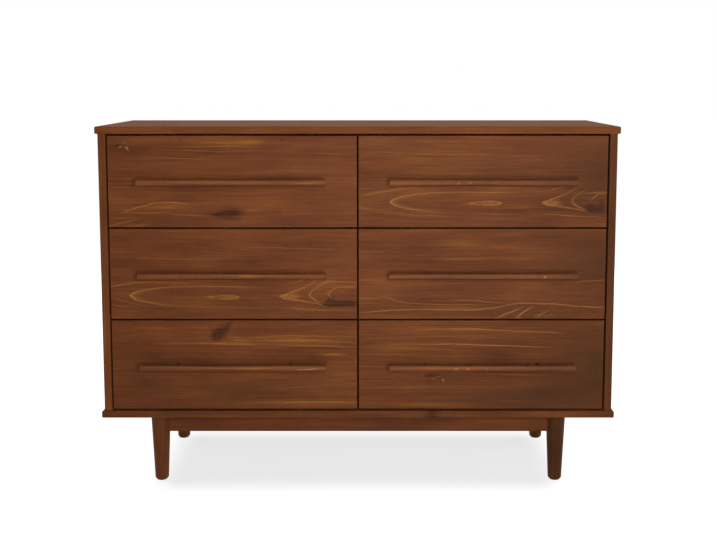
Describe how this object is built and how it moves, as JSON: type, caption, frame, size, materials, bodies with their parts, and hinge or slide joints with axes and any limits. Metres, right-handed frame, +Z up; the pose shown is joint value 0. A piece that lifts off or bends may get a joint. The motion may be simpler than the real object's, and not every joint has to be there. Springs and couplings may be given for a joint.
{
  "type": "chest of drawers",
  "caption": "Wide low dresser in stained pine: slab case on turned tapered legs, two columns of flush drawers with long round bar handles.",
  "frame": {"origin": "on the floor under the middle of the whole piece, handles included", "axes": "+X to the viewer's right along the length, the drawers open towards -Y, +Z up"},
  "size_m": [1.32, 0.4334, 0.93],
  "materials": {
    "stained_pine": "walnut-brown stain under satin lacquer",
    "natural_pine": "planed and clear sealed",
    "plywood": "thin plywood, sanded",
    "beech": "planed hardwood, waxed",
    "dark_steel": "dark bronze paint, satin",
    "zinc_steel": "zinc plated",
    "pad_felt": "dense dark felt"
  },
  "bodies": {
    "case": {"top_panel": "stained_pine", "bottom_panel": "stained_pine", "left_side_panel": "stained_pine", "right_side_panel": "stained_pine", "centre_divider": "natural_pine", "back_panel": "plywood", "left_runners": "beech", "divider_runners": "beech", "right_runners": "beech", "front_apron": "stained_pine", "rear_apron": "stained_pine", "left_apron": "stained_pine", "right_apron": "stained_pine", "front_legs": "stained_pine", "rear_legs": "stained_pine", "corner_blocks": "natural_pine", "leg_bolts": "zinc_steel", "foot_pads": "pad_felt"},
    "top_left_drawer": {"top_left_front": "stained_pine", "top_left_side_boards": "natural_pine", "top_left_inner_front": "natural_pine", "top_left_back_board": "natural_pine", "top_left_bottom_board": "plywood", "top_left_handle_bar": "stained_pine", "top_left_handle_posts": "dark_steel"},
    "top_right_drawer": {"top_right_front": "stained_pine", "top_right_side_boards": "natural_pine", "top_right_inner_front": "natural_pine", "top_right_back_board": "natural_pine", "top_right_bottom_board": "plywood", "top_right_handle_bar": "stained_pine", "top_right_handle_posts": "dark_steel"},
    "middle_left_drawer": {"middle_left_front": "stained_pine", "middle_left_side_boards": "natural_pine", "middle_left_inner_front": "natural_pine", "middle_left_back_board": "natural_pine", "middle_left_bottom_board": "plywood", "middle_left_handle_bar": "stained_pine", "middle_left_handle_posts": "dark_steel"},
    "middle_right_drawer": {"middle_right_front": "stained_pine", "middle_right_side_boards": "natural_pine", "middle_right_inner_front": "natural_pine", "middle_right_back_board": "natural_pine", "middle_right_bottom_board": "plywood", "middle_right_handle_bar": "stained_pine", "middle_right_handle_posts": "dark_steel"},
    "bottom_left_drawer": {"bottom_left_front": "stained_pine", "bottom_left_side_boards": "natural_pine", "bottom_left_inner_front": "natural_pine", "bottom_left_back_board": "natural_pine", "bottom_left_bottom_board": "plywood", "bottom_left_handle_bar": "stained_pine", "bottom_left_handle_posts": "dark_steel"},
    "bottom_right_drawer": {"bottom_right_front": "stained_pine", "bottom_right_side_boards": "natural_pine", "bottom_right_inner_front": "natural_pine", "bottom_right_back_board": "natural_pine", "bottom_right_bottom_board": "plywood", "bottom_right_handle_bar": "stained_pine", "bottom_right_handle_posts": "dark_steel"}
  },
  "joints": [
    {"name": "top_left_drawer_slide", "type": "slide", "parent": "case", "child": "top_left_drawer", "axis": [0, -1, 0], "range_m": [0, 0.25]},
    {"name": "top_right_drawer_slide", "type": "slide", "parent": "case", "child": "top_right_drawer", "axis": [0, -1, 0], "range_m": [0, 0.25]},
    {"name": "middle_left_drawer_slide", "type": "slide", "parent": "case", "child": "middle_left_drawer", "axis": [0, -1, 0], "range_m": [0, 0.25]},
    {"name": "middle_right_drawer_slide", "type": "slide", "parent": "case", "child": "middle_right_drawer", "axis": [0, -1, 0], "range_m": [0, 0.25]},
    {"name": "bottom_left_drawer_slide", "type": "slide", "parent": "case", "child": "bottom_left_drawer", "axis": [0, -1, 0], "range_m": [0, 0.25]},
    {"name": "bottom_right_drawer_slide", "type": "slide", "parent": "case", "child": "bottom_right_drawer", "axis": [0, -1, 0], "range_m": [0, 0.25]}
  ]
}
